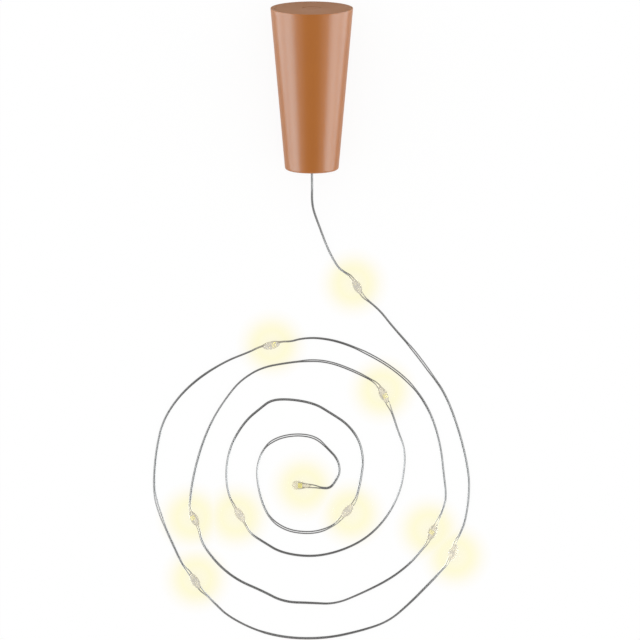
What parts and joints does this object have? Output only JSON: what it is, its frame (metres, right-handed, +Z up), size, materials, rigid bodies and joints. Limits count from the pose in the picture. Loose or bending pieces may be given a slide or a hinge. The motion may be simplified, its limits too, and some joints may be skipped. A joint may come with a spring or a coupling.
{
  "type": "bottle stopper light",
  "caption": "Stopper-shaped battery light for a bottle neck: pull-out cell tray, push switch in its cap and a fine twin wire of small resin-cast lights laid in an open spiral.",
  "frame": {"origin": "bottom centre of the stopper's box as it lies on a table, without the wire", "axes": "+Z up from the table, +Y towards the stopper's wide end, the wire leaves towards -Y"},
  "size_m": [0.0783, 0.1565, 0.0199],
  "materials": {
    "stopper_brown": "smooth moulded",
    "cap_brown": "fine matt",
    "anchor_rubber": "matt",
    "tray_black": "moulded",
    "contact_nickel": "nickel plated",
    "cell_steel": "satin nickel",
    "wire_enamel": "enamelled silver",
    "bead_resin": "cast resin",
    "chip_phosphor": "phosphor gel"
  },
  "bodies": {
    "stopper": {"cork_shell": "stopper_brown", "wire_anchor": "anchor_rubber", "wire_strand_left": "wire_enamel", "wire_strand_right": "wire_enamel", "slack_lead_switch": "wire_enamel", "slack_lead_spring": "wire_enamel", "led_bead_01": "bead_resin", "led_bead_02": "bead_resin", "led_bead_03": "bead_resin", "led_bead_04": "bead_resin", "led_bead_05": "bead_resin", "led_bead_06": "bead_resin", "led_bead_07": "bead_resin", "led_bead_08": "bead_resin", "led_bead_09": "bead_resin", "led_bead_10": "bead_resin", "led_chip_01": "chip_phosphor", "led_chip_02": "chip_phosphor", "led_chip_03": "chip_phosphor", "led_chip_04": "chip_phosphor", "led_chip_05": "chip_phosphor", "led_chip_06": "chip_phosphor", "led_chip_07": "chip_phosphor", "led_chip_08": "chip_phosphor", "led_chip_09": "chip_phosphor", "led_chip_10": "chip_phosphor"},
    "battery_module": {"end_cap": "cap_brown", "battery_cage": "tray_black", "button_cell_1": "cell_steel", "button_cell_2": "cell_steel", "button_cell_3": "cell_steel", "positive_contact": "contact_nickel", "negative_contact": "contact_nickel", "battery_spring": "contact_nickel", "switch_housing": "tray_black", "switch_terminals": "contact_nickel", "switch_lead": "wire_enamel"},
    "knob": {"switch_knob": "cap_brown"}
  },
  "joints": [
    {"name": "tray_slide", "type": "slide", "parent": "stopper", "child": "battery_module", "axis": [0, 0.9961, 0.0883], "range_m": [0, 0.028], "deforming": ["slack_lead_switch", "slack_lead_spring"]},
    {"name": "switch_press", "type": "slide", "parent": "battery_module", "child": "knob", "axis": [0, -0.9961, -0.0883], "range_m": [0, 0.0008]}
  ]
}
